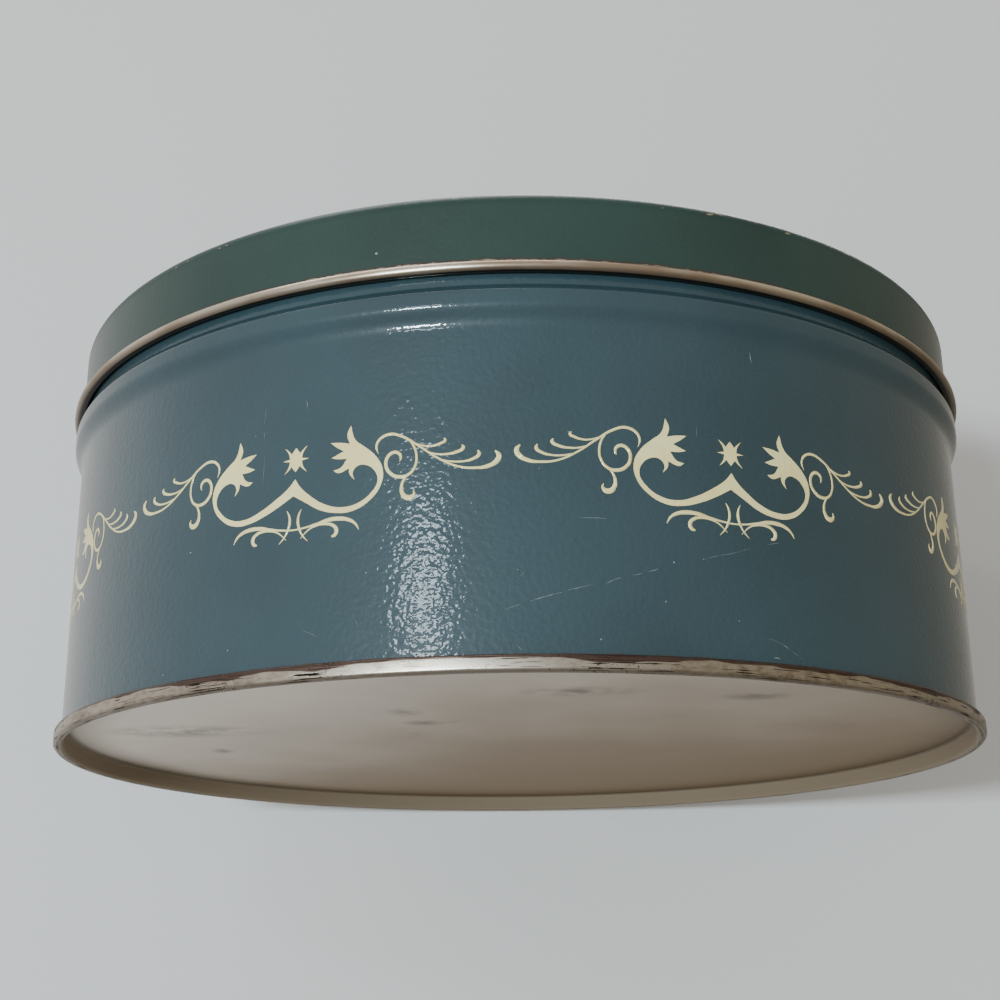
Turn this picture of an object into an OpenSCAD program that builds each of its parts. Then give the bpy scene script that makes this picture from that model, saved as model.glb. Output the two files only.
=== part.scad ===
// Round slip-lid cake tin of tinplate: a rolled body with a stop bead, a seamed-on base and a drawn lid.
// Every piece is bent sheet: a path down the middle of the sheet, given its thickness and turned about the axis.

/* [Sheet] */
// Thickness of the tinplate
plate = 0.3; // [0.22:0.02:0.4]
// Space left between layers of sheet that are folded on each other
fold_gap = 0.06; // [0.04:0.01:0.1]

/* [Body] */
// Outside diameter of the body wall
body_d = 240; // [200:1:300]
// Height from the table to the top of the body's curled rim
body_h = 105; // [95:1:130]
// How far the stop bead stands out of the wall
bead_out = 2.1; // [1.2:0.1:2.6]
// Height of the bead's flat crest
bead_crest = 2.2; // [1:0.2:4]
// Height of the bead's lower side
bead_foot = 6; // [4:0.2:8]
// Height of the bead's upper side
bead_top = 2.8; // [2.6:0.1:4]
// How late the lower side turns out of the wall: 1 is evenly, more leaves the wall more gently
bead_late = 1.5; // [1:0.1:2]
// How late the upper side turns off the crest: 1 is evenly, more leaves the crest more gently
top_late = 1.3; // [1.2:0.1:1.5]
// Distance from the top of the body's rim down to the middle of the bead
bead_drop = 24.8; // [24.1:0.1:30]
// Outside diameter of the inward curl along the body's rim
rim_curl_d = 2.6; // [2.2:0.1:3.2]

/* [Side seam] */
// Width of the locked fold on the inside of the wall
lock_w = 5; // [4:0.5:8]
// Width of the joint line that the fold leaves on the outside
joint_w = 0.6; // [0.4:0.1:1]
// Depth of that joint line
joint_depth = 0.12; // [0.08:0.02:0.16]
// Layers of sheet that the fold adds inside the wall
lock_layers = 3; // [2:1:3]
// Plain wall left under the fold, above the base, and over it, below the rim curl
lock_end = 2; // [1:0.5:6]

/* [Base] */
// Height of the double seam that the tin stands on
seam_h = 3.6; // [3.2:0.1:4.6]
// How far the double seam stands out of the wall
seam_out = 1.8; // [1.6:0.1:2.4]
// Width of the flat that the seam stands on
seam_land = 0.7; // [0.5:0.1:1]
// Height of the countersunk panel's underside above the table
base_recess = 4.7; // [4:0.1:6]
// Radius of the bend between the panel and the seam, to the middle of the sheet
panel_bend_r = 1; // [0.7:0.1:1.5]
// Straight length of the base's hook inside the seam
cover_hook = 0.9; // [0.6:0.1:1]
// Straight length of the body's hook inside the seam
body_hook = 0.9; // [0.6:0.1:1]

/* [Lid] */
// Height of the lid from its shoulder to the bottom of its curl
lid_depth = 20.2; // [17:0.2:21]
// Space between the lid's skirt and the body, on each side
lid_clearance = 0.3; // [0.25:0.05:0.6]
// Space between the lid's shoulder and the body's rim, where the lid rests
seat_gap = 0.2; // [0.1:0.05:0.25]
// How much larger the lid's shoulder is inside than the rim curl that it seats on
shoulder_relief = 1.6; // [1:0.1:2.5]
// Outside diameter of the outward curl along the lid's edge
lid_curl_d = 2.6; // [2.2:0.1:3.2]
// Height of the stiffening step in the lid's top
step_h = 1.6; // [1:0.1:3]
// Width of the slope of that step
step_w = 5; // [3:0.5:8]
// Width of the flat ring between the step and the shoulder
ring_w = 14; // [10:1:30]

/* [Hidden] */

$fn = 96;
arc_step = 15;
ease_count = 12;

half = plate / 2;
pitch = plate + fold_gap;

// Radii to the middle of the sheet, from the base seam's innermost layer outwards
wall_m = body_d / 2 - half;
chuck_m = wall_m - pitch;
cover_m = wall_m + pitch;
outer_m = body_d / 2 + seam_out - half;
hook_m = outer_m - pitch;
skirt_m = body_d / 2 + lid_clearance + half;

// Bends of the base seam
foot_r = (outer_m - chuck_m - seam_land) / 2;
foot_z = half + foot_r;
cover_r = (outer_m - cover_m) / 2;
cover_z = seam_h - half - cover_r;
hook_r = (hook_m - wall_m) / 2;
hook_z = half + pitch + hook_r;
panel_m = base_recess + half;

// Crest of the stop bead
crest_m = wall_m + bead_out;
crest_low = body_h - bead_drop - bead_crest / 2;
crest_high = crest_low + bead_crest;

// Rim curl of the body, turned inwards, and the lid that seats on it
rim_m = rim_curl_d / 2 - half;
rim_z = body_h - rim_curl_d / 2;
shoulder_m = rim_curl_d / 2 + shoulder_relief + half;
shoulder_r = skirt_m - shoulder_m;
seat_rise = sqrt(pow(shoulder_relief - seat_gap, 2) - pow(shoulder_relief - lid_clearance, 2));
shoulder_z = rim_z - seat_rise;
lid_m = shoulder_z + shoulder_m;
step_r = shoulder_r - ring_w;

// Curl of the lid, turned outwards
curl_m = lid_curl_d / 2 - half;
curl_z = lid_m + half - lid_depth + lid_curl_d / 2;

// The inside fold of the side seam runs from above the base to below the rim curl
lock_low = panel_m + half + lock_end;
lock_high = rim_z - rim_curl_d / 2 - lock_end;

// Points along an arc about c, from angle a to angle b
function arc(c, r, a, b) =
    let (n = ceil(abs(b - a) / arc_step))
    [for (i = [0:n]) c + r * [cos(a + (b - a) * i / n), sin(a + (b - a) * i / n)]];

// Points of a smooth step from p to q, level at both ends
function step_down(p, q) =
    [for (i = [0:ease_count]) let (s = i / ease_count)
        [p.x + (q.x - p.x) * s, p.y + (q.y - p.y) * (1 - cos(180 * s)) / 2]];

// Points of a smooth slope from p to q, upright at both ends, held back near p by late
function slope(p, q, late) =
    [for (i = [0:ease_count]) let (s = i / ease_count)
        [p.x + (q.x - p.x) * (1 - cos(180 * pow(s, late))) / 2, p.y + (q.y - p.y) * s]];

// Turn of a curl that stops just short of the sheet it started from
function curl_turn(m) = 360 - acos((m - half - fold_gap) / (m + half));

// A path moved sideways by w, to the left of its direction
function unit(v) = v / norm(v);
function left(v) = [-v.y, v.x];
function moved(path, w) =
    let (last = len(path) - 1)
    [for (i = [0:last])
        let (a = unit(path[min(i + 1, last)] - path[min(i, last - 1)]),
             b = unit(path[max(i, 1)] - path[max(i - 1, 0)]),
             m = left(a) + left(b))
        path[i] + 2 * w * m / (m * m)];
function reversed(list) = [for (i = [len(list) - 1:-1:0]) list[i]];

// Outline of the space between two lines that follow a path
function band(path, from, to) = concat(moved(path, from), reversed(moved(path, to)));

// Sheet bent along a path and turned about the axis
module sheet_ring(path) {
    rotate_extrude() polygon(band(path, -half, half));
}

// A strip of a given width that follows a path at the back of the tin
module back_strip(path, from, to, width) {
    angle = width / wall_m * 180 / PI;
    rotate([0, 0, 90 - angle / 2])
        rotate_extrude(angle = angle) polygon(band(path, from, to));
}

// Stop bead with a flat crest, from its foot to its top
wall_path = concat(
    slope([wall_m, crest_low - bead_foot], [crest_m, crest_low], bead_late),
    slope([crest_m, crest_high], [wall_m, crest_high + bead_top], top_late));

body_path = concat(
    [[hook_m, hook_z + body_hook]],
    arc([wall_m + hook_r, hook_z], hook_r, 0, -180),
    wall_path,
    arc([wall_m - rim_m, rim_z], rim_m, 0, curl_turn(rim_m)));

lock_path = concat([[wall_m, lock_low]], wall_path, [[wall_m, lock_high]]);

joint_path = concat([[wall_m, seam_h + lock_end]], wall_path, [[wall_m, rim_z]]);

base_path = concat(
    [[0, panel_m]],
    arc([chuck_m - panel_bend_r, panel_m - panel_bend_r], panel_bend_r, 90, 0),
    arc([chuck_m + foot_r, foot_z], foot_r, 180, 270),
    arc([outer_m - foot_r, foot_z], foot_r, 270, 360),
    arc([outer_m - cover_r, cover_z], cover_r, 0, 180),
    [[cover_m, cover_z - cover_hook]]);

lid_path = concat(
    [[0, lid_m + step_h]],
    step_down([step_r - step_w, lid_m + step_h], [step_r, lid_m]),
    arc([shoulder_r, shoulder_z], shoulder_m, 90, 0),
    arc([skirt_m + curl_m, curl_z], curl_m, 180, 180 + curl_turn(curl_m)));

// Rolled wall: hooked flange, stop bead, inward rim curl and the locked side seam at the back
module body_wall() {
    color("#48605f")
    difference() {
        union() {
            sheet_ring(body_path);
            back_strip(lock_path, 0, half + lock_layers * plate, lock_w);
        }
        back_strip(joint_path, joint_depth - half, -plate, joint_w);
    }
}

// Countersunk end whose edge wraps the body's flange in a double seam
module base_plate() {
    color("#a79d93") sheet_ring(base_path);
}

// Drawn lid with a stepped top, a rounded shoulder and an outward curl
module lid() {
    color("#3f5450") sheet_ring(lid_path);
}

body_wall();
base_plate();
lid();
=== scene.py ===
# %% [markdown]
# A round cake tin: a rolled and enamelled body with a stop bead, a base of bare tinplate folded on in a double
# seam, and a slip lid with a hollow curl along its edge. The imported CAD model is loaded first. It gives the place
# and size of everything, so each piece below is drawn from the boxes of its nodes and lands where the CAD says.

# %% Load the frame
import math

import bmesh
import bpy
from mathutils import Matrix, Vector


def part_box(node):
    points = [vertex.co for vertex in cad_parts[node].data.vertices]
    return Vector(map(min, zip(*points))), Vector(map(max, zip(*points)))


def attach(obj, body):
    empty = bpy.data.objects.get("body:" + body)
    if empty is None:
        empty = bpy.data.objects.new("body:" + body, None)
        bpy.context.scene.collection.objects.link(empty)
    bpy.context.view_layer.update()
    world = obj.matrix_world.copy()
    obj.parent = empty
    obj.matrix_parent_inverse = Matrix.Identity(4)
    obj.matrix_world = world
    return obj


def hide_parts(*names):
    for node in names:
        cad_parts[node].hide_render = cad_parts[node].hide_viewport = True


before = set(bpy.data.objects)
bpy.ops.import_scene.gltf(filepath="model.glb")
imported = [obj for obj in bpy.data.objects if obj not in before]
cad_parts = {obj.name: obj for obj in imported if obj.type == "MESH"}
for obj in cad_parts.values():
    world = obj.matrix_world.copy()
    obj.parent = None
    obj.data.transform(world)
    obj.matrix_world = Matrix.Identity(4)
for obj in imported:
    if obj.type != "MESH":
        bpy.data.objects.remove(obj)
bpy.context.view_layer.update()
mm = 0.001

# %% [markdown]
# The camera stands where the photograph was taken from. The tin lies on its side there, so in the part's own upright
# frame that place is in front of the tin and a little below its base, looking slightly upwards. The numbers come from
# fitting the solids' edges, such as the lid's shoulder, the curl and the base ring, to the same edges on the
# photograph. A matrix of three turns is easier to check against a fit than Euler angles: first the heading, then the
# tilt, then the small roll of a camera held by hand.

# %% Camera
camera_place = Vector((-7.98, -411.68, -58.64)) * mm
camera_heading = math.radians(-0.4926)
camera_tilt = math.radians(17.9126)
camera_roll = math.radians(-0.5371)
camera_lens = 54.319
camera_sensor = 36.0
camera_near = 10 * mm

camera_data = bpy.data.cameras.new("photo_camera")
camera_data.lens = camera_lens
camera_data.sensor_width = camera_sensor
camera_data.clip_start = camera_near
camera = bpy.data.objects.new("photo_camera", camera_data)
heading = Matrix.Rotation(camera_heading, 4, "Z")
tilt = Matrix.Rotation(math.pi / 2 + camera_tilt, 4, "X")
roll = Matrix.Rotation(camera_roll, 4, "Z")
camera.matrix_world = Matrix.Translation(camera_place) @ heading @ tilt @ roll
bpy.context.scene.collection.objects.link(camera)
bpy.context.scene.camera = camera
print("camera looks along", [round(v, 3) for v in -camera.matrix_world.col[2].xyz])

# %% [markdown]
# Tinplate is thin sheet, so every piece is one line: the middle of the sheet, seen in section. The sizes below are
# the few that the tin's maker would give, and the rest is read from the CAD nodes' boxes. Lengths carry their unit,
# so that a number can be read as it would be on a drawing.

# %% Sizes of the sheet metal
plate = 0.3 * mm
half = plate / 2
fold_gap = 0.06 * mm
fold_pitch = plate + fold_gap

base_low, base_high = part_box("base_plate")
body_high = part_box("body_wall")[1]
lid_low, lid_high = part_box("lid")

seam_out = 1.8 * mm
seam_h = 3.6 * mm
wall_r = base_high.x - seam_out
bead_out = body_high.x - wall_r
bead_crest = 2.2 * mm
bead_foot = 6 * mm
bead_top = 2.8 * mm
bead_drop = 24.8 * mm
bead_late = 1.5
top_late = 1.3
bead_z = body_high.z - bead_drop
curl_d = 2.6 * mm
curl_m = curl_d / 2 - half
rim_z = body_high.z - curl_d / 2
lid_curl_z = lid_low.z + curl_d / 2
print("wall radius", round(wall_r / mm, 2), "bead", round(bead_out / mm, 2), "lid curl at", round(lid_curl_z / mm, 2))

# %% [markdown]
# A section is drawn with two strokes: straight lines and arcs. Arcs are worked out by angle, so that a curl stays
# round however finely it is cut. Where a long straight wall runs into a bend, one more point close to the bend
# keeps the wall's shading flat, because smooth shading would otherwise spread the bend's light along the wall.

# %% Lines and arcs of a section
arc_step = 10
bend_margin = 0.5 * mm


def arc(x, z, radius, start, end):
    """Points along an arc about (x, z), between two angles in degrees."""
    count = math.ceil(abs(end - start) / arc_step)
    angles = [math.radians(start + (end - start) * i / count) for i in range(count + 1)]
    return [(x + radius * math.cos(a), z + radius * math.sin(a)) for a in angles]


def eased(start, end, count):
    """Points of a smooth step between two points, level at both ends."""
    shares = [i / count for i in range(count + 1)]
    rise = end[1] - start[1]
    return [(start[0] + (end[0] - start[0]) * s, start[1] + rise * (1 - math.cos(math.pi * s)) / 2)
            for s in shares]


def sloped(start, end, count, late=1.0):
    """Points of a smooth slope between two points, upright at both ends. late holds the slope back near its start."""
    shares = [i / count for i in range(count + 1)]
    rise = (end[0] - start[0]) / 2
    return [(start[0] + rise * (1 - math.cos(math.pi * s ** late)), start[1] + (end[1] - start[1]) * s)
            for s in shares]


def held_straight(path):
    """The same path, with a point near each end of every long straight run."""
    held = [path[0]]
    for start, end in zip(path, path[1:]):
        run = Vector(end) - Vector(start)
        if run.length > 4 * bend_margin:
            step = run.normalized() * bend_margin
            held += [tuple(Vector(start) + step), tuple(Vector(end) - step)]
        held.append(end)
    return held


def curl_turn(radius):
    """How far a curl turns, in degrees, before it meets the sheet that it started from."""
    return 360 - math.degrees(math.acos((radius - half - fold_gap) / (radius + half)))


print("a curl turns", round(curl_turn(curl_m)), "degrees")

# %% [markdown]
# A sheet of metal that was rolled or drawn is the same all round, so its section is turned about the tin's axis
# with spin, as on a lathe. The Solidify modifier then gives it the thickness of the plate, half to each side. Its
# material offset puts the second material on the other side of the sheet: enamel outside, bare metal inside.

# %% Turn a section into a sheet
turn_steps = 288
full_turn = 2 * math.pi
back = math.pi / 2
weld = 0.001 * mm
centred = 0
inwards = -1


def new_piece(name, bm, materials, body, thickness=plate, side=centred):
    """A piece of sheet, riding on one of the CAD's bodies. Its far side and cut edges have the second material."""
    mesh = bpy.data.meshes.new(name)
    bm.to_mesh(mesh)
    bm.free()
    for material in materials:
        mesh.materials.append(material)
    piece = bpy.data.objects.new(name, mesh)
    bpy.context.scene.collection.objects.link(piece)
    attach(piece, body)
    solidify = piece.modifiers.new("plate", "SOLIDIFY")
    solidify.thickness = thickness
    solidify.offset = side
    solidify.use_even_offset = True
    solidify.material_offset = 1
    solidify.material_offset_rim = 1
    print(name, len(mesh.vertices), "vertices", len(mesh.polygons), "faces")
    return piece


def turned(path, outside, start, angle, steps):
    """A bmesh of a section turned about the axis. outside is a point near the sheet's front and where that faces."""
    bm = bmesh.new()
    points = [bm.verts.new((r, 0, z)) for r, z in path]
    line = [bm.edges.new(pair) for pair in zip(points, points[1:])]
    bmesh.ops.rotate(bm, verts=points, cent=(0, 0, 0), matrix=Matrix.Rotation(start, 3, "Z"))
    bmesh.ops.spin(bm, geom=points + line, cent=(0, 0, 0), axis=(0, 0, 1), angle=angle, steps=steps,
                   use_merge=angle == full_turn)
    bmesh.ops.remove_doubles(bm, verts=bm.verts, dist=weld)
    bmesh.ops.recalc_face_normals(bm, faces=bm.faces)
    nearest = min(bm.faces, key=lambda f: (f.calc_center_median() - Vector(outside[0])).length)
    if nearest.normal.dot(Vector(outside[1])) < 0:
        bmesh.ops.reverse_faces(bm, faces=bm.faces)
    return bm


def turned_sheet(path, outside, gap=0.0):
    """A section turned all round and shaded smooth. gap is an angle left open at the back, where a side seam is."""
    bm = turned(held_straight(path), outside, back + gap / 2, full_turn - gap, turn_steps)
    for face in bm.faces:
        face.smooth = True
    return bm


print("a section is turned in", turn_steps, "steps")

# %% [markdown]
# The finishes come next, because every piece is made with its own. All of them are painted in coordinates that
# follow the sheet round the tin: the length along the wall, the height and the radius. They are worked out from the
# piece's Object coordinates with an arc tangent, so that dimples, streaks and pits can be stretched along the metal
# in the direction in which it was rolled. The seam of that mapping falls on the side seam at the back.

# %% Small helpers for shader nodes
class Nodes:
    """A node tree under construction: makes nodes and links them in one call."""

    def __init__(self, tree):
        self.tree = tree

    def node(self, kind, inputs=None, **settings):
        """A node of a kind, with its settings, and with values or links for its inputs."""
        made = self.tree.nodes.new("ShaderNode" + kind)
        for key, value in settings.items():
            setattr(made, key, value)
        for key, value in (inputs or {}).items():
            self.put(made.inputs[key], value)
        return made

    def put(self, socket, value):
        """A value or a link into one socket."""
        if isinstance(value, bpy.types.NodeSocket):
            self.tree.links.new(value, socket)
        else:
            socket.default_value = value

    def math(self, operation, *values):
        """One step of arithmetic."""
        return self.node("Math", dict(enumerate(values)), operation=operation).outputs[0]

    def times(self, first, second):
        return self.math("MULTIPLY", first, second)

    def plus(self, first, second):
        return self.math("ADD", first, second)


class Finish(Nodes):
    """A material under construction."""

    def __init__(self, name):
        self.material = bpy.data.materials.new(name)
        self.material.use_nodes = True
        super().__init__(self.material.node_tree)
        self.shader = self.tree.nodes["Principled BSDF"]

    def sheet_coordinates(self):
        """The length along the wall from the front, the radius and the height, in metres."""
        self.place = self.node("TexCoord").outputs["Object"]
        split = self.node("SeparateXYZ", {"Vector": self.place})
        self.x, self.y, self.height = split.outputs
        turn = self.math("ARCTAN2", self.x, self.times(self.y, -1.0))
        self.along = self.times(turn, wall_r)
        flat = self.node("CombineXYZ", {"X": self.x, "Y": self.y})
        self.radius = self.node("VectorMath", {0: flat.outputs[0]}, operation="LENGTH").outputs["Value"]
        self.sheet = self.node("CombineXYZ", {"X": self.along, "Y": self.radius, "Z": self.height}).outputs[0]

    def noise(self, grain, detail=2.0, stretch=(1, 1, 1), rough=0.5, along_sheet=False):
        """Noise with grains about that long, stretched along X, Y, Z or along the wall, the radius and the height."""
        inputs = {"Vector": self.sheet if along_sheet else self.place, "Scale": tuple(1 / s for s in stretch)}
        place = self.node("Mapping", inputs).outputs[0]
        inputs = {"Vector": place, "Scale": 1 / grain, "Detail": detail, "Roughness": rough}
        return self.node("TexNoise", inputs).outputs["Fac"]

    def between(self, value, low, high):
        """0 below one value, 1 above another, and smooth in between."""
        inputs = {"Value": value, "From Min": low, "From Max": high}
        return self.node("MapRange", inputs, interpolation_type="SMOOTHSTEP").outputs["Result"]

    def mix(self, share, first, second):
        """One colour passing into another."""
        mixed = self.node("Mix", {"Factor": share}, data_type="RGBA")
        for socket, colour in zip((mixed.inputs[6], mixed.inputs[7]), (first, second)):
            self.put(socket, (*colour, 1.0) if isinstance(colour, tuple) else colour)
        return mixed.outputs[2]

    def over(self, under, colour, share, strength):
        """A colour laid over another where share says, and only as strong as strength says."""
        return self.mix(self.times(share, strength), under, colour)

    def blend(self, share, first, second):
        """One number passing into another."""
        inputs = {"Value": share, "To Min": first, "To Max": second}
        return self.node("MapRange", inputs).outputs["Result"]

    def bump(self, height, depth):
        """Relief of a given depth in metres."""
        return self.node("Bump", {"Height": height, "Distance": depth, "Strength": 1.0}).outputs["Normal"]

    def link(self, **sockets):
        """Links or values for the shader's own sockets."""
        for key, value in sockets.items():
            self.put(self.shader.inputs[key.replace("_", " ")], value)


print("once round the wall:", round(full_turn * wall_r / mm), "mm")

# %% [markdown]
# The body and the lid are stoved enamel: a hard glossy paint that was baked on the sheet before it was rolled. It
# dries with an orange-peel skin, dimples about a millimetre wide that break a highlight into glints. So the gloss is
# kept high, and a bump of smooth noise does the softening. From the bead upwards, rolling has pressed the dimples
# flatter. Pin-head specks of pale dirt sit in some cells of a coarse cell pattern.

# %% Orange peel and specks
peel_grain = 1.2 * mm
body_peel = 0.092 * mm
lid_peel = 0.048 * mm
pressed_peel = 0.65
press_fade = 2 * mm
speck_cell = 13 * mm
speck_reach = 0.022
speck_from = 0.55


def orange_peel(finish, depth, pressed_from=None):
    """Dimples of baked enamel. Above a height, rolling has pressed them flatter."""
    dimples = finish.noise(peel_grain, detail=1.0, rough=0.4)
    if pressed_from is not None:
        pressed = finish.between(finish.height, pressed_from, pressed_from + press_fade)
        dimples = finish.times(dimples, finish.blend(pressed, 1.0, pressed_peel))
    return finish.bump(dimples, depth)


def pale_specks(finish):
    """Where the specks are: in the middle of some cells."""
    cells = finish.node("TexVoronoi", {"Vector": finish.place, "Scale": 1 / speck_cell})
    near = finish.math("LESS_THAN", cells.outputs["Distance"], speck_reach)
    red = finish.node("SeparateColor", {"Color": cells.outputs["Color"]}).outputs[0]
    return finish.times(near, finish.math("GREATER_THAN", red, speck_from))


print("dimples of", peel_grain / mm, "mm")

# %% [markdown]
# Edges that are curled after the paint was baked lose it, so each enamel is bare above or below some height, with a
# ragged border and a rusty line along it. The lid's shoulder takes the knocks: there the paint has lost its gloss and
# is chipped to the tan primer. One recipe with a few heights serves both enamels.

# %% Enamel
bare_metal = (0.43, 0.365, 0.30)
tarnished_metal = (0.22, 0.17, 0.13)
rust = (0.06, 0.03, 0.022)
tan_primer = (0.30, 0.22, 0.13)
pale_dirt = (0.5, 0.5, 0.46)
dirt_strength = 0.55
rust_strength = 0.85
worn_gloss = 0.1
coat_roughness = 0.08
enamel_specular = 0.2


def mottle(finish, clouds, grain):
    """How pale a paint is, wandering in broad clouds and in a fine grain."""
    tone = finish.plus(finish.times(clouds, 0.6), finish.times(grain, 0.4))
    return finish.between(tone, 0.35, 0.65)


def tarnish(finish):
    """Cloudy stretches along the metal."""
    return finish.noise(14 * mm, detail=4.0, stretch=(2, 1, 1), along_sheet=True)


def chips(finish, chipped_from):
    """Where the knocked shoulder is, and where its paint has flaked off."""
    flakes = finish.noise(1.8 * mm, detail=5.0, stretch=(2.5, 1, 1), rough=0.65, along_sheet=True)
    edge = finish.times(finish.between(finish.height, chipped_from, chipped_from + 1.6 * mm),
                        finish.between(finish.radius, wall_r - 9 * mm, wall_r - 4 * mm))
    return edge, finish.between(finish.times(flakes, edge), 0.615, 0.655)


def enamel(name, shade, deep_shade, gloss, peel_depth, bare_above=None, bare_below=None, grime_below=None,
           chipped_from=None, pressed_from=None):
    """Enamelled sheet that is bare above or below a height."""
    finish = Finish(name)
    finish.sheet_coordinates()
    clouds = finish.noise(38 * mm, detail=3.0)
    grain = finish.noise(0.45 * mm, detail=2.0, rough=0.7)
    paint = finish.mix(mottle(finish, clouds, grain), deep_shade, shade)
    paint = finish.over(paint, pale_dirt, pale_specks(finish), dirt_strength)
    ragged = finish.times(finish.math("SUBTRACT", finish.noise(2.2 * mm, detail=4.0), 0.5), 1.2 * mm)
    first, second = (finish.height, bare_below) if bare_above is None else (bare_above, finish.height)
    border = finish.plus(finish.math("SUBTRACT", first, second), ragged)
    shine = gloss
    if chipped_from is not None:
        edge, chipped = chips(finish, chipped_from)
        paint = finish.mix(chipped, paint, tan_primer)
        shine = finish.blend(edge, gloss, worn_gloss)
    painted = finish.between(border, -0.05 * mm, 0.05 * mm)
    stained = finish.between(border, 0.6 * mm, 0.1 * mm)
    if grime_below is not None:
        grime_and_shade = finish.plus(finish.math("SUBTRACT", finish.height, grime_below), ragged)
        stained = finish.math("MAXIMUM", stained, finish.between(grime_and_shade, 0.3 * mm, -0.2 * mm))
    paint = finish.over(paint, rust, stained, rust_strength)
    metal = finish.mix(finish.between(tarnish(finish), 0.45, 0.75), bare_metal, tarnished_metal)
    peel = orange_peel(finish, peel_depth, pressed_from)
    finish.link(
        Base_Color=finish.mix(painted, metal, paint),
        Metallic=finish.math("SUBTRACT", 1.0, painted),
        Roughness=finish.blend(painted, 0.38, finish.blend(clouds, 0.36, 0.46)),
        Normal=peel,
        Coat_Normal=peel,
        Coat_Weight=finish.times(painted, shine),
        Coat_Roughness=coat_roughness,
        Specular_IOR_Level=enamel_specular,
    )
    return finish.material


print("metal under the paint:", bare_metal)

# %% [markdown]
# The body is bare along the rim that the lid hides, and dirty in the corner over the base seam. The lid is bare along
# its curl. Each has two close tones to wander between, and the lid is duller.

# %% Enamel of the body and of the lid
rim_margin = 3.4 * mm
curl_margin = 0.75 * mm
grime_rise = 0.2 * mm
chip_drop = 5.6 * mm
body_blue, body_deep_blue = (0.034, 0.069, 0.083), (0.026, 0.055, 0.066)
lid_green, lid_deep_green = (0.028, 0.057, 0.047), (0.021, 0.044, 0.036)
body_gloss = 1.0
lid_gloss = 0.5

body_enamel = enamel("blue_enamel", body_blue, body_deep_blue, body_gloss, body_peel,
                     bare_above=body_high.z - rim_margin, grime_below=seam_h + grime_rise,
                     pressed_from=bead_z - bead_crest / 2 - bead_foot)
lid_enamel = enamel("green_enamel", lid_green, lid_deep_green, lid_gloss, lid_peel,
                    bare_below=lid_low.z + curl_d + curl_margin, chipped_from=lid_high.z - chip_drop)
print("enamels:", body_enamel.name, lid_enamel.name)

# %% [markdown]
# The base is bare tinplate. Its panel has gone dull and grey, with tarnish wandering through it. Painted shade makes
# it browner towards the back and a little towards the right, and a painted reflection makes it paler on the left. It
# is darker along its edge, and painted shade darkens the bend at its rim and the upstand of the rim. Rubbed smudges
# lie where the photograph shows them. Each is a round gradient, stretched by a Mapping node and broken up by noise.

# %% Dull panel
# The panel's two tones also carry its painted shade and painted reflection.
grey_tin = (1.0, 0.94, 0.85)
browned_shaded_tin = (0.33, 0.245, 0.15)
smudge_grey = (0.15, 0.14, 0.13)
margin_grey = (0.2, 0.165, 0.12)
# Painted shade on the upstand
upstand_shade_brown = (0.25, 0.193, 0.128)
# Painted shade in the bend
bend_painted_shade = (0.09, 0.07, 0.05)
# X, Y, length and width in millimetres
smudges = (
    (-86, -24, 25, 11), (-82, 10, 4, 6), (-24.5, -34.5, 6, 5), (-17, -35.5, 4, 2.5),
    (-28, -50, 5, 7), (-27, -16, 4, 5), (12, -75, 16, 7), (54, -67.5, 10, 6),
)


def smudge(finish, broken, x, y, length, width):
    """A soft rubbed mark with a broken edge."""
    inputs = {"Vector": finish.place, "Location": (-x / length, -y / width, 0),
              "Scale": (1 / length, 1 / width, 0)}
    place = finish.node("Mapping", inputs).outputs[0]
    spot = finish.node("TexGradient", {"Vector": place}, gradient_type="SPHERICAL")
    return finish.times(spot.outputs["Fac"], broken)


def dull_panel(finish, dull, upstand):
    """The panel's colour, from the plate with its painted shade and reflection up to its darker edge."""
    # Painted shade and reflection: paler to the left, browner to the back and a little to the right.
    sideways = finish.math("MINIMUM", finish.times(finish.x, 1.3), finish.times(finish.x, 0.2))
    shade_lean = finish.times(finish.plus(sideways, finish.y), -0.8)
    wander = finish.times(finish.math("SUBTRACT", dull, 0.5), 90 * mm)
    clean = finish.between(finish.plus(shade_lean, wander), -110 * mm, 150 * mm)
    panel = finish.mix(finish.math("POWER", clean, 2.0), browned_shaded_tin, grey_tin)
    broken = finish.between(finish.noise(5 * mm, detail=4.0, stretch=(2, 2, 1), rough=0.65), 0.35, 0.6)
    for mark in smudges:
        rubbed = smudge(finish, broken, *(value * mm for value in mark))
        panel = finish.over(panel, smudge_grey, rubbed, 0.75)
    # Darker along the panel's edge.
    margin = finish.between(finish.radius, wall_r - 15 * mm, wall_r - 2 * mm)
    panel = finish.over(panel, margin_grey, margin, 0.42)
    # Painted shade: the upstand of the rim is dark brown.
    panel = finish.mix(upstand, panel, upstand_shade_brown)
    # Painted shade in the bend from the panel up to its upstand.
    bend = finish.times(finish.between(finish.radius, wall_r - 4 * mm, wall_r - 1.5 * mm),
                        finish.between(finish.radius, wall_r - 0.68 * mm, wall_r - 0.9 * mm))
    return finish.over(panel, bend_painted_shade, bend, 0.4)


print("smudges on the panel:", len(smudges))

# %% [markdown]
# The ring that the tin stands on is rubbed bright. It is tarnished in stretches, darkened towards its foot by painted
# shade, scarred black where the tin coat is gone, and rusty along its upper edge, here more and there less. Each is
# laid over the bright metal in turn, in the order in which it would have come about.

# %% Scarred ring
bright_tin = (0.56, 0.49, 0.405)
tarnished_tin = (0.34, 0.275, 0.205)
foot_painted_shade = (0.12, 0.097, 0.075)
scar_black = (0.03, 0.023, 0.018)
ring_rust = (0.09, 0.052, 0.043)
rust_drop = 0.85 * mm


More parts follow.
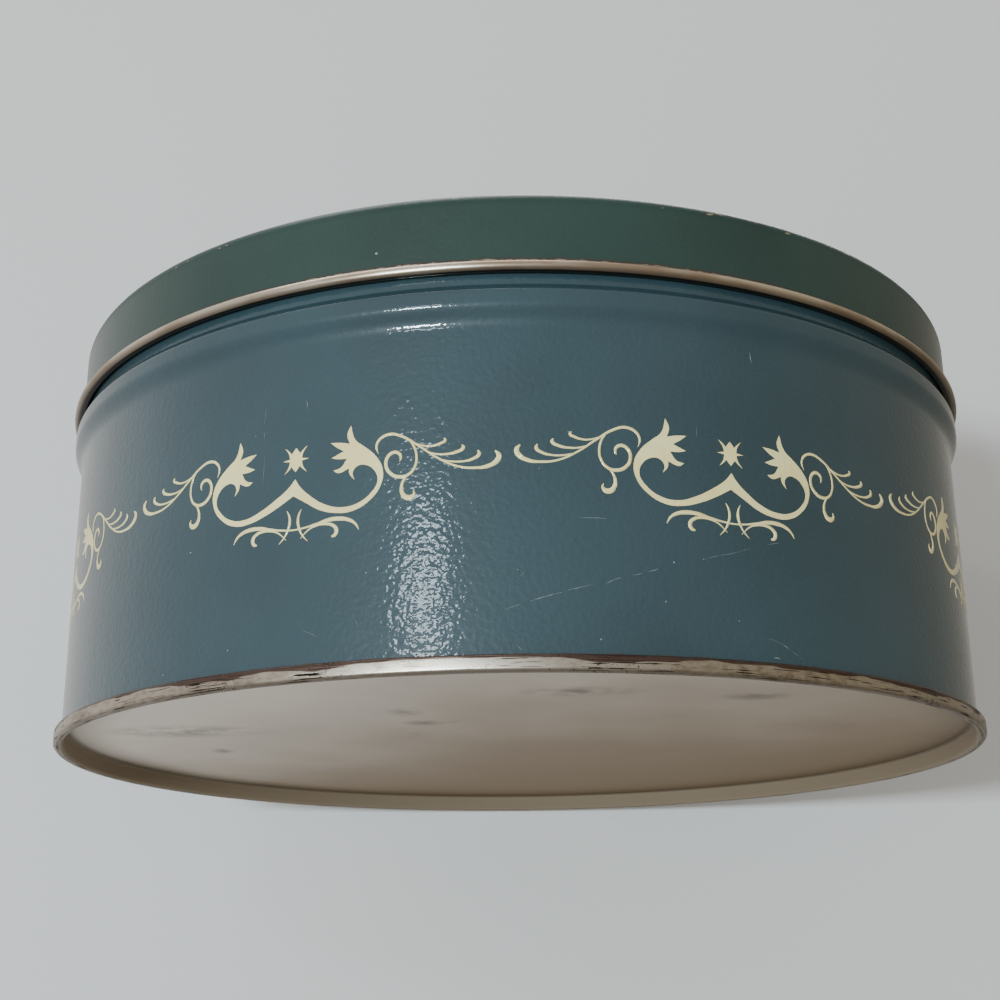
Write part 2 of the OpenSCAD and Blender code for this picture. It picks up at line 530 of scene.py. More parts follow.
def scarred_ring(finish, scars, patches):
    """The ring's colour, from the bright metal up to the rust."""
    stretches = tarnish(finish)
    spots = finish.noise(1.1 * mm, detail=4.0, stretch=(2.2, 1, 1), rough=0.7, along_sheet=True)
    tone = finish.plus(finish.times(stretches, 0.5), finish.times(spots, 0.5))
    ring = finish.mix(finish.between(tone, 0.44, 0.64), bright_tin, tarnished_tin)
    # Painted shade: the ring darkens towards its foot, where it turns under.
    foot = finish.between(finish.height, 1.1 * mm, 0.1 * mm)
    ring = finish.over(ring, foot_painted_shade, foot, 0.55)
    ring = finish.mix(scars, ring, scar_black)
    flakes = finish.noise(3 * mm, detail=3.0, stretch=(2, 1, 1), along_sheet=True)
    ragged = finish.plus(finish.times(patches, 3.4 * mm), finish.times(flakes, 0.8 * mm))
    corner = finish.plus(finish.height, finish.math("SUBTRACT", ragged, rust_drop))
    outside = finish.math("GREATER_THAN", finish.radius, wall_r)
    rusty = finish.times(outside, finish.between(corner, seam_h, seam_h + 0.24 * mm))
    return finish.over(ring, ring_rust, rusty, 0.9)


print("bright metal of the ring:", bright_tin)

# %% [markdown]
# The base's outside joins the two: the radius says where the panel ends and the ring begins. The upstand is less
# metallic and rougher, so it hardly mirrors, and its dark brown is painted shade. The scars are cut into the metal
# with a bump.

# %% Outside of the base
def worn_tinplate():
    """The base's outside: a rubbed and scarred ring round a dull panel."""
    finish = Finish("worn_tinplate")
    finish.sheet_coordinates()
    dull = finish.noise(45 * mm, detail=4.0)
    patches = finish.noise(16 * mm, detail=2.0)
    streaks = finish.noise(0.34 * mm, detail=2.0, stretch=(28, 1, 0.8), along_sheet=True)
    pits = finish.noise(0.42 * mm, detail=3.0, stretch=(1.6, 1, 1), rough=0.6, along_sheet=True)
    grouped = finish.times(patches, 0.35)
    streaked = finish.between(finish.plus(streaks, grouped), 0.775, 0.805)
    pitted = finish.between(finish.plus(pits, grouped), 0.82, 0.85)
    scars = finish.math("MAXIMUM", streaked, pitted)
    on_ring = finish.between(finish.radius, wall_r - 0.4 * mm, wall_r + 0.2 * mm)
    upstand = finish.between(finish.radius, wall_r - 2.5 * mm, wall_r - 0.7 * mm)
    panel_roughness = finish.blend(upstand, finish.blend(dull, 0.42, 0.56), 0.8)
    grain = finish.noise(0.5 * mm, detail=3.0)
    finish.link(
        Base_Color=finish.mix(on_ring, dull_panel(finish, dull, upstand), scarred_ring(finish, scars, patches)),
        Roughness=finish.blend(on_ring, panel_roughness, finish.blend(scars, 0.33, 0.8)),
        Metallic=finish.blend(on_ring, finish.blend(upstand, 1.0, 0.15), 1.0),
        Normal=finish.bump(finish.math("SUBTRACT", grain, scars), 0.012 * mm),
    )
    return finish.material


base_outside = worn_tinplate()
print("outside of the base:", base_outside.name)

# %% [markdown]
# Inside the tin the plate is cleaner and shows the faint lines of the rolling mill. The lid's curl turns this side of
# the sheet outwards. So beyond the wall's radius the same finish is rubbed bright and stained in stretches, and
# painted shade darkens the curl's lower half and lays a dark line along its underside.

# %% Inside of the plate
clean_plate, cloudy_plate = (0.50, 0.48, 0.45), (0.44, 0.42, 0.39)
rubbed_curl, stained_curl = (0.88, 0.75, 0.60), (0.56, 0.43, 0.31)
# Painted shade for the curl's lower half and for the dark line under it
curl_lower_shade = (0.13, 0.105, 0.08)
curl_shade = (0.05, 0.043, 0.035)


def inside_tinplate():
    """Clean plate with fine mill lines, rubbed and stained where a curl brings it outside, with painted shade below.
    """
    finish = Finish("inside_tinplate")
    finish.sheet_coordinates()
    lines = finish.noise(0.6 * mm, detail=2.0, stretch=(60, 1, 0.6), along_sheet=True)
    patches = finish.noise(30 * mm, detail=4.0)
    clean = finish.mix(finish.between(patches, 0.35, 0.7), clean_plate, cloudy_plate)
    stains = finish.noise(9 * mm, detail=5.0, stretch=(3, 1, 1), rough=0.6, along_sheet=True)
    rubbed = finish.mix(finish.between(stains, 0.40, 0.62), rubbed_curl, stained_curl)
    # Painted shade: the curl's lower half darkens towards its underside.
    grime_and_shade = finish.between(finish.height, lid_low.z + 1.9 * mm, lid_low.z + 0.1 * mm)
    rubbed = finish.over(rubbed, curl_lower_shade, grime_and_shade, 0.8)
    # Painted shade: a dark line along the curl's underside, next to the wall.
    under = finish.between(finish.height, lid_low.z + 0.25 * mm, lid_low.z + 0.05 * mm)
    rubbed = finish.over(rubbed, curl_shade, under, 0.85)
    outside = finish.between(finish.radius, wall_r + 0.6 * mm, wall_r + 0.7 * mm)
    finish.link(
        Base_Color=finish.mix(outside, clean, rubbed),
        Roughness=finish.blend(outside, finish.blend(lines, 0.26, 0.40), 0.32),
        Metallic=1.0,
        Normal=finish.bump(lines, 0.004 * mm),
    )
    return finish.material


plate_inside = inside_tinplate()
print("inside of the plate:", plate_inside.name)

# %% [markdown]
# The wall is one strip, rolled and locked in a side seam at the back. Its lower edge is hooked into the base seam,
# a stop bead stands out of it below the lid, and its upper edge is curled inwards so that it doesn't cut. The bead was
# rolled between two wheels: it has a flat crest, a short upper side and a lower side that leaves the wall gently, so
# its foot catches a broad line of light and its crest a thin one. The strip isn't closed at the back: the gap of the
# joint stays open, and the locked fold behind it shows as the bottom of a fine groove.

# %% Rolled wall
wall_m = wall_r - half
outer_m = base_high.x - half
hook_m = outer_m - fold_pitch
hook_r = (hook_m - wall_m) / 2
hook_z = half + fold_pitch + hook_r
hook_length = 0.9 * mm
bead_count = 20
joint_gap = 0.6 * mm

crest_m = wall_m + bead_out
crest_low = bead_z - bead_crest / 2
crest_high = bead_z + bead_crest / 2
bead = sloped((wall_m, crest_low - bead_foot), (crest_m, crest_low), bead_count, bead_late)
bead += sloped((crest_m, crest_high), (wall_m, crest_high + bead_top), bead_count, top_late)

wall_path = [(hook_m, hook_z + hook_length)]
wall_path += arc(wall_m + hook_r, hook_z, hook_r, 0, -180)
wall_path += bead
wall_path += arc(wall_m - curl_m, rim_z, curl_m, 0, curl_turn(curl_m))

front_of_wall = ((0, -wall_r, 40 * mm), (0, -1, 0))
rolled_wall = new_piece("rolled_wall", turned_sheet(wall_path, front_of_wall, joint_gap / wall_r),
                        [body_enamel, plate_inside], "tin")
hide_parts("body_wall")

# %% [markdown]
# The side seam is a fold of three more layers on the inside, hammered flat. It is the wall's section without its ends,
# set a little inwards and turned through the few degrees that the fold is wide.

# %% Locked side seam
lock_w = 5 * mm
lock_layers = 3
lock_groove = 0.12 * mm
lock_low = 5.1 * mm
lock_under_curl = 0.1 * mm
lock_high = rim_z - curl_d / 2 - lock_under_curl
lock_steps = 8

lock_turn = lock_w / wall_m
lock_depth = plate - lock_groove + lock_layers * plate
lock_path = [(r + half - lock_groove, z) for r, z in [(wall_m, lock_low), *bead, (wall_m, lock_high)]]
back_of_wall = ((0, wall_r, 40 * mm), (0, 1, 0))
new_piece("side_seam", turned(lock_path, back_of_wall, back - lock_turn / 2, lock_turn, lock_steps),
          [plate_inside, plate_inside], "tin", lock_depth, inwards)

# %% [markdown]
# The base is a countersunk end: a flat panel held up off the table by its rim. The rim goes down, turns under the
# foot, comes up outside and folds over the wall's hook, which locks the two together and makes the bright ring.

# %% Seamed base
panel_rise = 4.7 * mm
panel_z = base_low.z + panel_rise + half
chuck_m = wall_m - fold_pitch
cover_m = wall_m + fold_pitch
seam_land = 0.7 * mm
foot_r = (outer_m - chuck_m - seam_land) / 2
foot_z = half + foot_r
cover_r = (outer_m - cover_m) / 2
cover_z = seam_h - half - cover_r
panel_bend = 1.0 * mm

base_path = [(0, panel_z)]
base_path += arc(chuck_m - panel_bend, panel_z - panel_bend, panel_bend, 90, 0)
base_path += arc(chuck_m + foot_r, foot_z, foot_r, 180, 270)
base_path += arc(outer_m - foot_r, foot_z, foot_r, 270, 360)
base_path += arc(outer_m - cover_r, cover_z, cover_r, 0, 180)
base_path += [(cover_m, cover_z - hook_length)]

under_panel = ((0, -60 * mm, panel_z), (0, 0, -1))
seamed_base = new_piece("seamed_base", turned_sheet(base_path, under_panel), [base_outside, plate_inside], "tin")
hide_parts("base_plate")

# %% [markdown]
# The lid is drawn from one disc. A low step stiffens its top, a rounded shoulder leads into the skirt, and the edge
# is curled outwards round nothing, which makers call a false wire. The shoulder rests on the body's rim.

# %% Drawn lid
lid_clearance = 0.3 * mm
shoulder_relief = 1.6 * mm
step_h = 1.6 * mm
step_w = 5 * mm
step_count = 16
ring_w = 14 * mm
skirt_m = wall_r + lid_clearance + half
lid_m = lid_high.z - half - step_h
shoulder_m = curl_d / 2 + shoulder_relief + half
shoulder_r = skirt_m - shoulder_m
step_r = shoulder_r - ring_w

lid_path = [(0, lid_m + step_h)]
lid_path += eased((step_r - step_w, lid_m + step_h), (step_r, lid_m), step_count)
lid_path += arc(shoulder_r, lid_m - shoulder_m, shoulder_m, 90, 0)
lid_path += arc(skirt_m + curl_m, lid_curl_z, curl_m, 180, 180 + curl_turn(curl_m))

top_of_lid = ((0, -60 * mm, lid_high.z), (0, 0, 1))
drawn_lid = new_piece("drawn_lid", turned_sheet(lid_path, top_of_lid), [lid_enamel, plate_inside], "cover")
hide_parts("lid")

# %% [markdown]
# The frieze is printed on the wall in cream: a garland of scrolls, flowers and ferns of the kind that tin printers and
# sign writers have used for centuries, eight times round. It is drawn flat first, as on the printer's sheet, and then
# rolled onto the wall. A stroke of the pen is a Bezier curve whose points have a width of their own: the curve is
# extruded into a ribbon, and each point's radius sets how broad the ribbon is there. Solid shapes are filled curves.

# %% Ink
ink_depth = 0.06 * mm
ink_over_wall = 0.035 * mm
ink_layer = 0.002 * mm
pale_cream, deep_cream = (1.0, 0.91, 0.45), (1.0, 0.81, 0.35)


def cream_ink():
    """Cream printing ink under the same stoved skin as the enamel, a little uneven in its tone."""
    finish = Finish("cream_ink")
    finish.sheet_coordinates()
    clouds = finish.noise(9 * mm, detail=3.0)
    grain = finish.noise(0.5 * mm, detail=2.0, rough=0.7)
    tone = mottle(finish, clouds, grain)
    peel = orange_peel(finish, body_peel)
    finish.link(
        Base_Color=finish.mix(tone, deep_cream, pale_cream),
        Roughness=finish.blend(clouds, 0.36, 0.46),
        Normal=peel,
        Coat_Normal=peel,
        Coat_Weight=body_gloss,
        Coat_Roughness=coat_roughness,
        Specular_IOR_Level=enamel_specular,
    )
    return finish.material


ink = cream_ink()
print("ink:", ink.name)

# %% [markdown]
# The sheet collects the curves as meshes in millimetres. Shapes that cross would flicker if they lay at one height, so
# each lies a hair above the last. The sheet is then cut into narrow slices, because a mesh bends only at its edges.

# %% Printer's sheet
corner = 0
smooth = 1
curve_cuts = 5
ribbon_reach = 0.5
sheet_weld = 0.0001
slice_width = 1.5


def curve_mesh(knots, filled):
    """A Bezier curve through knots of (x, height, width or kind of knot), as a flat mesh in millimetres."""
    data = bpy.data.curves.new("drawing", "CURVE")
    data.dimensions = "2D" if filled else "3D"
    data.resolution_u = curve_cuts
    if filled:
        data.fill_mode = "BOTH"
    else:
        data.twist_mode = "Z_UP"
        data.extrude = ribbon_reach
    spline = data.splines.new("BEZIER")
    spline.use_cyclic_u = filled
    spline.radius_interpolation = "EASE"
    spline.bezier_points.add(len(knots) - 1)
    for knot, (x, height, width) in zip(spline.bezier_points, knots):
        knot.co = (x, height, 0)
        knot.handle_left_type = knot.handle_right_type = "VECTOR" if filled and width == corner else "AUTO"
        knot.radius = width
        knot.tilt = math.pi / 2
    holder = bpy.data.objects.new("drawing", data)
    mesh = bpy.data.meshes.new_from_object(holder)
    bpy.data.objects.remove(holder)
    bpy.data.curves.remove(data)
    return mesh


class Sheet:
    """Flat ink shapes in millimetres, ready to be rolled."""

    def __init__(self):
        self.bm = bmesh.new()
        self.level = self.bm.verts.layers.float.new("level")
        self.count = 0

    def take(self, mesh):
        """Adds a drawn mesh to the sheet, on its own level."""
        before = len(self.bm.verts)
        self.bm.from_mesh(mesh)
        bpy.data.meshes.remove(mesh)
        self.bm.verts.ensure_lookup_table()
        for vert in self.bm.verts[before:]:
            vert[self.level] = self.count
        self.count += 1

    def stroke(self, knots):
        """A pen stroke through knots of (x, height, width)."""
        self.take(curve_mesh(knots, False))

    def shape(self, knots):
        """A filled outline through knots of (x, height, corner or smooth)."""
        self.take(curve_mesh(knots, True))

    def rolled(self):
        """The sheet, cut into slices and rolled onto the wall."""
        bm = self.bm
        bmesh.ops.remove_doubles(bm, verts=bm.verts, dist=sheet_weld)
        left = min(v.co.x for v in bm.verts)
        right = max(v.co.x for v in bm.verts)
        for i in range(1, int((right - left) / slice_width) + 1):
            cut = (left + i * slice_width, 0, 0)
            whole = bm.verts[:] + bm.edges[:] + bm.faces[:]
            bmesh.ops.bisect_plane(bm, geom=whole, plane_co=cut, plane_no=(1, 0, 0))
        bmesh.ops.reverse_faces(bm, faces=[f for f in bm.faces if f.normal.z < 0])
        for vert in bm.verts:
            turn = vert.co.x * mm / wall_r
            reach = wall_r + ink_over_wall + ink_layer * vert[self.level]
            vert.co = (reach * math.sin(turn), -reach * math.cos(turn), vert.co.y * mm)
        return bm


print("slices of", slice_width, "mm")

# %% [markdown]
# The motif was drawn by hand, and it isn't quite even: its right half sits closer to the middle than its left half and
# hangs a little lower. So the left half is drawn once, by the distance from the middle and the height above the table,
# and the right half is the same drawing, mirrored, pulled in and lowered.

# %% Left and right halves
half_pull = 1.9
half_pull_reach = 8.0
half_fall = 0.026
print_rise = 0.54


def halves(knots, pull=half_pull):
    """The same knots for the left half and for the right half, as (x, height, width)."""
    left = [(-d, z + print_rise, w) for d, z, w in knots]
    right = [(d - pull * min(1, d / half_pull_reach), z + print_rise - half_fall * d, w) for d, z, w in knots]
    return left, right


print("pulled in by", half_pull, "mm")

# %% [markdown]
# In the middle, a bracket swings out of a peak to a flower on each side. It is one closed outline: its lower edge from
# the notch, the flower's five petals, and its upper edge back to the peak. Knots at the tips and between the petals
# are sharp, and all others are smooth.

# %% Bracket with its two flowers
def outline(*runs):
    """Knots of an outline. Each run starts at a corner, and its other knots are smooth."""
    return [(*knot, smooth if i else corner) for run in runs for i, knot in enumerate(run)]


bracket_half = outline(
    [(0.35, 39.6), (3.8, 37.7), (7.7, 36.0), (11.5, 35.0), (15.3, 35.1), (19.2, 37.2), (21.6, 40.5), (21.9, 43.8),
     (20.4, 46.7), (18.0, 48.9), (15.7, 50.8)],
    [(14.7, 54.0), (13.9, 52.0)], [(14.5, 49.95), (12.4, 50.35)], [(10.1, 50.5), (11.5, 49.4)],
    [(13.2, 48.4), (12.1, 47.9)], [(10.4, 47.1), (11.8, 46.75)], [(13.9, 46.7), (12.6, 44.85)],
    [(10.9, 44.3), (12.0, 43.65)], [(14.4, 44.5), (14.6, 43.2)],
    [(15.7, 41.9), (15.3, 43.5), (16.3, 44.85), (18.0, 45.0), (20.1, 43.6), (20.8, 41.3), (19.5, 38.9), (16.3, 36.65),
     (12.5, 36.15), (8.6, 37.3), (4.8, 39.3), (1.6, 41.5)],
    [(0.0, 43.3)],
)


def bracket(sheet):
    """Both halves of the bracket as one outline, from the notch round to the notch."""
    left, right = halves(bracket_half)
    sheet.shape(left + right[-2:0:-1])


print("bracket:", len(bracket_half), "knots a half")

# %% [markdown]
# A star stands over the peak: a pointed lozenge with three rays on each side. A quarter of it is drawn and repeated
# upside down and left to right.

# %% Star
star_z = 47.6
star_quarter = outline([(0.0, 2.7), (0.55, 2.05)], [(1.0, 1.4), (1.7, 2.15)], [(2.75, 2.95), (1.75, 1.5)],
                       [(1.45, 0.3)], [(3.2, 0.0)])


def star(sheet):
    """The whole star, clockwise from its top."""
    upper = star_quarter
    lower = [(x, -y, kind) for x, y, kind in reversed(upper[:-1])]
    right = upper + lower
    left = [(-x, y, kind) for x, y, kind in reversed(right[1:-1])]
    sheet.shape([(x, y + star_z + print_rise, kind) for x, y, kind in right + left])


print("star:", len(star_quarter), "knots a quarter")

# %% [markdown]
# Under the bracket runs a flat wave, with a hook below each half and two arcs crossing it. Beside each flower a stem
# swells out of a curl and runs off into a fern of four fronds, over a spiral with a hanging drop. All of these are
# pen strokes that start thin, swell and end in a point or a blunt tip.

# %% Strokes of the pen
wave = [(15.3, 31.0, 0.15), (14.5, 32.3, 0.5), (13.1, 33.2, 0.75), (11.0, 33.65, 0.9), (8.5, 33.55, 0.85),
        (5.6, 32.9, 0.55), (3.0, 32.4, 0.4), (0.0, 32.1, 0.36)]
hook = [(9.1, 29.9, 0.4), (9.9, 30.25, 0.8), (10.2, 31.3, 0.85), (9.4, 32.3, 0.7), (7.8, 32.75, 0.55),
        (5.7, 32.6, 0.42), (3.7, 31.85, 0.32), (1.75, 30.1, 0.12)]
crossing = [(1.75, 36.5, 0.15), (1.15, 35.2, 0.45), (1.0, 33.8, 0.6), (1.35, 32.4, 0.55), (2.2, 30.75, 0.35),
            (3.5, 29.4, 0.12)]
stem = [(20.9, 47.2, 0.12), (20.45, 48.8, 0.5), (21.2, 50.4, 0.6), (23.4, 51.35, 0.62), (26.0, 50.7, 0.55),
        (30.0, 48.15, 0.45), (33.5, 45.7, 0.42), (37.6, 43.75, 0.42), (41.5, 43.3, 0.55), (44.2, 43.75, 0.85),
        (45.9, 44.9, 1.1), (46.25, 46.0, 1.0), (45.5, 47.05, 0.35)]
fronds = (
    [(28.9, 49.0, 0.25), (30.7, 48.4, 0.35), (32.5, 48.3, 0.42), (34.4, 48.9, 0.58), (35.15, 49.4, 0.6),
     (34.95, 50.0, 0.3)],
    [(31.6, 47.0, 0.25), (33.3, 46.5, 0.36), (35.3, 46.4, 0.45), (37.6, 46.85, 0.65), (38.9, 47.7, 0.75),
     (38.7, 48.4, 0.3)],
    [(34.4, 45.2, 0.25), (36.3, 44.8, 0.38), (38.9, 44.75, 0.42), (41.0, 45.3, 0.6), (42.2, 46.3, 0.78),
     (41.95, 47.15, 0.3)],
)
spiral = [(27.6, 49.75, 0.3), (28.6, 48.3, 0.45), (29.15, 46.0, 0.5), (28.8, 43.9, 0.52), (27.5, 42.3, 0.6),
          (25.5, 41.85, 0.76), (23.6, 42.7, 0.74), (22.6, 44.6, 0.7), (23.0, 46.4, 0.72), (24.3, 47.3, 0.72),
          (25.5, 46.85, 0.66), (25.8, 46.0, 0.5), (25.55, 45.2, 0.15)]
drop = [(27.4, 42.3, 0.25), (26.4, 41.0, 0.5), (26.0, 39.6, 0.66), (26.2, 38.3, 0.9), (27.0, 37.35, 1.15),
        (28.0, 37.3, 1.1), (28.65, 38.0, 0.6), (28.5, 38.9, 0.12)]
wave_pull = 0.3
crossing_pull = 0.2


def pen_work(sheet):
    """Every stroke of one motif, on both sides."""
    left_wave, right_wave = halves(wave, pull=wave_pull)
    sheet.stroke(left_wave + right_wave[-2::-1])
    for knots in (hook, crossing):
        for side in halves(knots, pull=crossing_pull):
            sheet.stroke(side)
    for knots in (stem, *fronds, spiral, drop):
        for side in halves(knots):
            sheet.stroke(side)


print("stem:", len(stem), "knots")

# %% [markdown]
# The printer's block repeats the motif along the strip, so all eight are exact copies. One is drawn and rolled, and
# spin carries duplicates of it round the wall. Then the frieze is turned to where the photograph shows it.

# %% Print the frieze eight times round the wall
motif_count = 8
motif_turn = math.radians(21.14)

motif = Sheet()
bracket(motif)
star(motif)
pen_work(motif)
frieze_bm = motif.rolled()
whole = frieze_bm.verts[:] + frieze_bm.edges[:] + frieze_bm.faces[:]
between_motifs = full_turn / motif_count
bmesh.ops.spin(frieze_bm, geom=whole, cent=(0, 0, 0), axis=(0, 0, 1), angle=between_motifs * (motif_count - 1),
               steps=motif_count - 1, use_duplicate=True)
bmesh.ops.rotate(frieze_bm, verts=frieze_bm.verts, cent=(0, 0, 0), matrix=Matrix.Rotation(motif_turn, 3, "Z"))
new_piece("scroll_frieze", frieze_bm, [ink, ink], "tin", ink_depth, inwards)

# %% [markdown]
# Years of use left fine marks in the enamel: a long scratch that skips across the front, nicks and specks. With them
# is a faint pale arc near the base. They are strokes of the same pen, mostly thinner than a hair, in the pale tone of
# scraped paint. A nick that could be had from a noise texture would look alike all round, so these are drawn.

# %% Scratches
scratches = (
    [(-5.3, 12.6, 0.04), (-3.4, 13.2, 0.07), (-2.0, 13.6, 0.04)],
    [(-0.2, 14.2, 0.04), (2.0, 14.9, 0.12), (4.5, 15.6, 0.10), (6.2, 16.0, 0.05)],
    [(7.5, 16.5, 0.06), (10.0, 17.1, 0.13), (12.7, 17.8, 0.04)],
    [(15.1, 17.9, 0.04), (16.6, 18.7, 0.12), (18.4, 19.3, 0.08)],
    [(20.7, 19.9, 0.04), (22.2, 20.2, 0.07), (23.0, 20.5, 0.04)],
    [(23.7, 20.7, 0.04), (25.2, 21.1, 0.10), (26.3, 21.5, 0.05)],
    [(10.0, 31.6, 0.04), (13.0, 31.7, 0.07), (16.0, 31.6, 0.05)],
    [(36.4, 24.2, 0.04), (39.5, 25.1, 0.07), (43.0, 26.0, 0.06), (47.5, 27.5, 0.04)],
    [(51.0, 28.6, 0.04), (53.0, 29.1, 0.07), (55.0, 29.6, 0.04)],
    [(50.2, 72.2, 0.05), (50.3, 71.0, 0.13), (50.5, 69.6, 0.05)],
    [(-48.2, 59.0, 0.04), (-48.1, 60.0, 0.10), (-48.3, 61.0, 0.04)],
    [(-58.9, 57.4, 0.04), (-58.7, 59.0, 0.08), (-58.5, 60.8, 0.04)],
    [(-58.8, 54.0, 0.04), (-58.7, 54.8, 0.09), (-58.8, 55.5, 0.04)],
    [(-58.6, 43.0, 0.03), (-58.5, 46.5, 0.05), (-58.4, 50.0, 0.03)],
    [(36.0, 51.0, 0.04), (36.1, 52.0, 0.09), (36.0, 53.0, 0.04)],
    [(-35.8, 11.8, 0.05), (-35.4, 11.0, 0.12), (-35.1, 10.1, 0.05)],
    [(-47.4, 10.6, 0.04), (-45.8, 9.9, 0.07), (-44.2, 9.1, 0.04)],
    [(-2.8, 5.3, 0.05), (-2.4, 4.8, 0.15), (-1.9, 4.3, 0.07)],
    [(-1.9, 19.3, 0.04), (-1.5, 19.9, 0.08), (-1.1, 20.6, 0.04)],
    # A faint pale arc near the base
    [(50.4, 8.5, 0.02), (51.3, 8.4, 0.04), (52.8, 8.0, 0.07), (54.5, 7.3, 0.08), (55.6, 6.6, 0.05), (56.9, 5.9, 0.07),
     (58.4, 5.1, 0.05), (59.3, 4.2, 0.02)],
    [(51.4, 4.7, 0.05), (52.2, 4.7, 0.20), (53.0, 4.5, 0.05)],
)
specks = (
    (-78.5, 31.7), (2.1, 42.1), (8.3, 50.2), (-2.6, 20.7), (27.5, 14.7), (13.8, 6.5), (43.6, 11.7), (36.2, 24.1),
    (-85.3, 5.6), (-66.0, 8.5), (-61.0, 55.0), (29.6, 23.0),
)
speck_width = 0.28
hairline = 0.75
mark_shift = 0.5
mark_rise = 0.25
grey_scrape, pale_scrape = (0.17, 0.21, 0.215), (0.40, 0.44, 0.43)


def scraped_paint():
    """Paint that was scraped to its pale undercoat, dull and uneven."""
    finish = Finish("scraped_paint")
    finish.sheet_coordinates()
    wear = finish.noise(1.5 * mm, detail=3.0)
    finish.link(
        Base_Color=finish.mix(finish.between(wear, 0.35, 0.65), grey_scrape, pale_scrape),
        Roughness=finish.blend(wear, 0.45, 0.65),
    )
    return finish.material


worn = Sheet()
for knots in scratches:
    worn.stroke([(x + mark_shift, height + mark_rise, width * hairline) for x, height, width in knots])
for x, height in specks:
    left, right = x + mark_shift - speck_width / 2, x + mark_shift + speck_width / 2
    worn.stroke([(left, height + mark_rise, speck_width), (right, height + mark_rise, speck_width)])
scraped = scraped_paint()
new_piece("enamel_scratches", worn.rolled(), [scraped, scraped], "tin", ink_depth, inwards)

# %% [markdown]
# The tin stands on a plain pale floor, for the views from above. On the photograph it lies on its side, so there is a
# pale ground behind it too. The photograph's camera is below the floor, so the floor is one-sided: seen from below it
# is clear, and it throws no shade. The ground is made in the same way and is clear from behind.

# %% Floor and ground
stage_size = 40.0
ground_gap = 4 * mm
ground_y = body_high.y + ground_gap
matt = 0.9
pale = (0.85, 0.84, 0.825, 1.0)


def one_sided(name):
    """A pale matt surface that is clear when seen from its back."""
    finish = Finish(name)
    finish.link(Base_Color=pale, Roughness=matt)
    clear = finish.node("BsdfTransparent")
    back = finish.node("NewGeometry").outputs["Backfacing"]
    side = finish.node("MixShader", {0: back, 1: finish.shader.outputs[0], 2: clear.outputs[0]})
    finish.put(finish.tree.nodes["Material Output"].inputs["Surface"], side.outputs[0])
    return finish.material


def stage_plane(name, place, turn):
    """A large flat sheet of the stage, placed by its mesh."""
    bm = bmesh.new()
    bmesh.ops.create_grid(bm, x_segments=1, y_segments=1, size=stage_size / 2)
    bmesh.ops.transform(bm, verts=bm.verts, matrix=Matrix.Translation(place) @ turn)
    mesh = bpy.data.meshes.new(name)
    bm.to_mesh(mesh)
    bm.free()
    mesh.materials.append(one_sided(name))
    plane = bpy.data.objects.new(name, mesh)
    bpy.context.scene.collection.objects.link(plane)
    plane.visible_shadow = False
    return plane


floor = stage_plane("floor", (0, 0, 0), Matrix.Identity(4))
floor.visible_diffuse = False
floor.visible_glossy = False
ground = stage_plane("ground", (0, ground_y, 0), Matrix.Rotation(math.pi / 2, 4, "X"))
ground.visible_glossy = False
print("floor at 0, ground behind at", round(ground_y / mm, 1), "mm")

# %% [markdown]
# Plain soft light: a pale room, stronger and cooler from the left, two small key lamps, and two fills for the back and
# the top. The keys' places aren't guessed. On the photograph the wall glints low down, a little left of the middle, so
# the camera's ray to that point is mirrored in the wall, and the wall's lamp stands along the mirrored ray. The bead's
# lamp stands lower, where the plain wall would mirror it only below the base. So nothing but the bead's slopes shows
# it, as two thin lines.

# %% Light
room_light = 0.54
room_slant = 0.29
back_slant = 0.5
right_shade = 0.12
floor_shade = 0.28
left_tint = (1.0, 0.99, 0.97, 1.0)
right_tint = (1.0, 0.91, 0.71, 1.0)
key_distance = 1.1
key_turn = math.radians(-10)
key_tint = (0.78, 0.92, 1.0)
middle = (0, 0, 50 * mm)

# Name, height on the wall where the lamp's upper edge is mirrored, size and power
key_lamps = (("bead_lamp", -50 * mm, (0.20, 0.09), 11.0), ("wall_lamp", 25 * mm, (0.18, 0.07), 0.8))
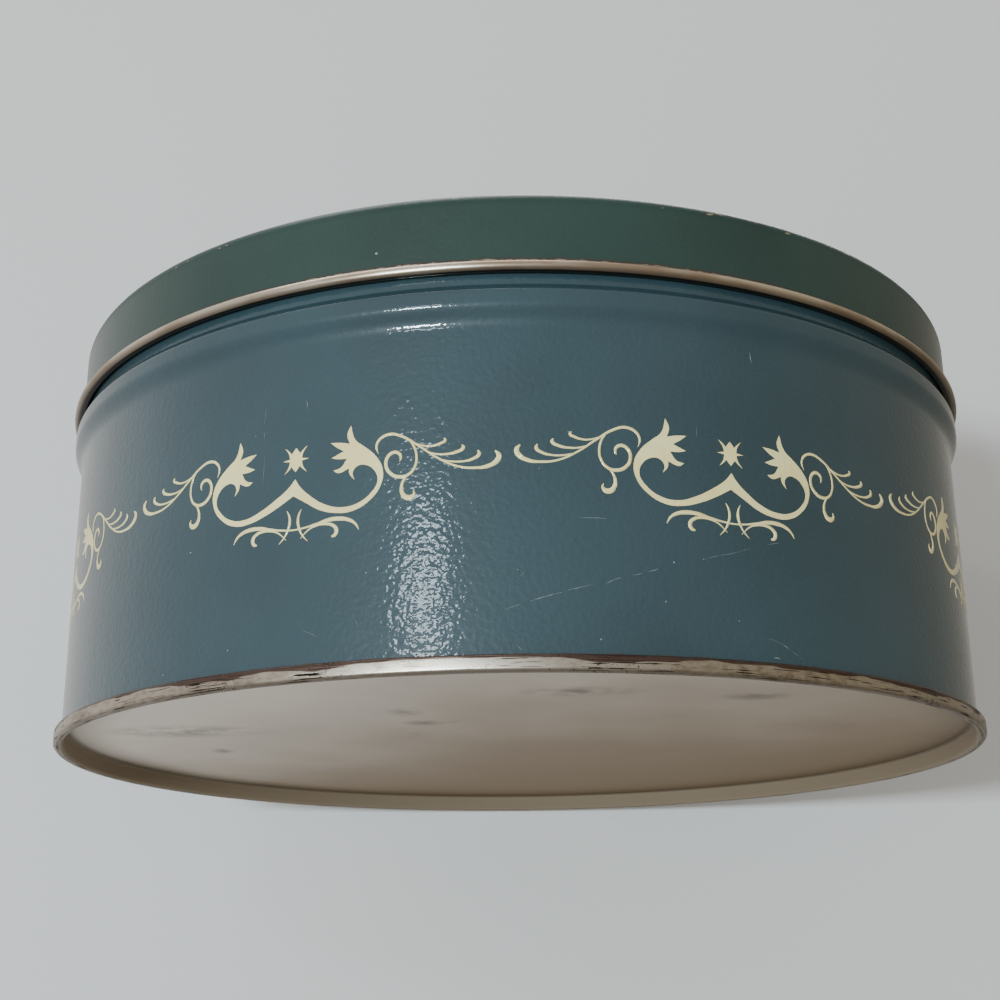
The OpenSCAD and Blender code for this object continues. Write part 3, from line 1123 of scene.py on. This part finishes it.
# Name, place, size and power
fill_lamps = (("back_fill", (0.3, 0.8, 1.3), (0.8, 0.8), 10.0), ("top_fill", (-0.2, 0.1, 1.3), (0.9, 0.9), 6.0))


def softbox(name, place, size, power):
    """A rectangular lamp at a place, turned towards the middle of the tin."""
    lamp = bpy.data.lights.new(name, "AREA")
    lamp.shape = "RECTANGLE"
    lamp.size, lamp.size_y = size
    lamp.energy = power
    holder = bpy.data.objects.new(name, lamp)
    holder.location = place
    holder.rotation_euler = (Vector(middle) - Vector(place)).to_track_quat("-Z", "Y").to_euler()
    bpy.context.scene.collection.objects.link(holder)
    print(name, "at", [round(v, 2) for v in place])
    return lamp


def mirrored_place(turn, height, distance):
    """Where a lamp stands so that the camera sees it in the wall at that turn and height."""
    normal = Vector((math.sin(turn), -math.cos(turn), 0))
    spot = normal * wall_r + Vector((0, 0, height))
    to_camera = (camera_place - spot).normalized()
    return spot + (2 * normal.dot(to_camera) * normal - to_camera) * distance


def pale_room():
    """Soft light from all sides, stronger and cooler from the left than from the right."""
    world = bpy.data.worlds.new("pale_room")
    world.use_nodes = True
    room = Nodes(world.node_tree)
    x, y, z = room.node("SeparateXYZ", {0: room.node("TexCoord").outputs["Generated"]}).outputs
    slant = room.math("MULTIPLY_ADD", room.math("MAXIMUM", y, 0.0), back_slant, room_slant)
    slant = room.math("MULTIPLY_ADD", room.math("MAXIMUM", x, 0.0), right_shade, slant)
    sideways = room.math("MULTIPLY_ADD", room.times(slant, x), -room_light, room_light)
    upwards = room.math("MULTIPLY_ADD", room.math("MINIMUM", z, 0.0), floor_shade, 1.0)
    tint = room.node("ValToRGB", {"Fac": x})
    tint.color_ramp.elements[0].color = left_tint
    tint.color_ramp.elements[1].color = right_tint
    background = world.node_tree.nodes["Background"]
    room.put(background.inputs["Strength"], room.times(sideways, upwards))
    room.put(background.inputs["Color"], tint.outputs["Color"])
    return world


bpy.context.scene.world = pale_room()
for name, top, size, power in key_lamps:
    place = mirrored_place(key_turn, top, key_distance) - Vector((0, 0, size[1] / 2))
    softbox(name, place, size, power).color = key_tint
for lamp in fill_lamps:
    softbox(*lamp)
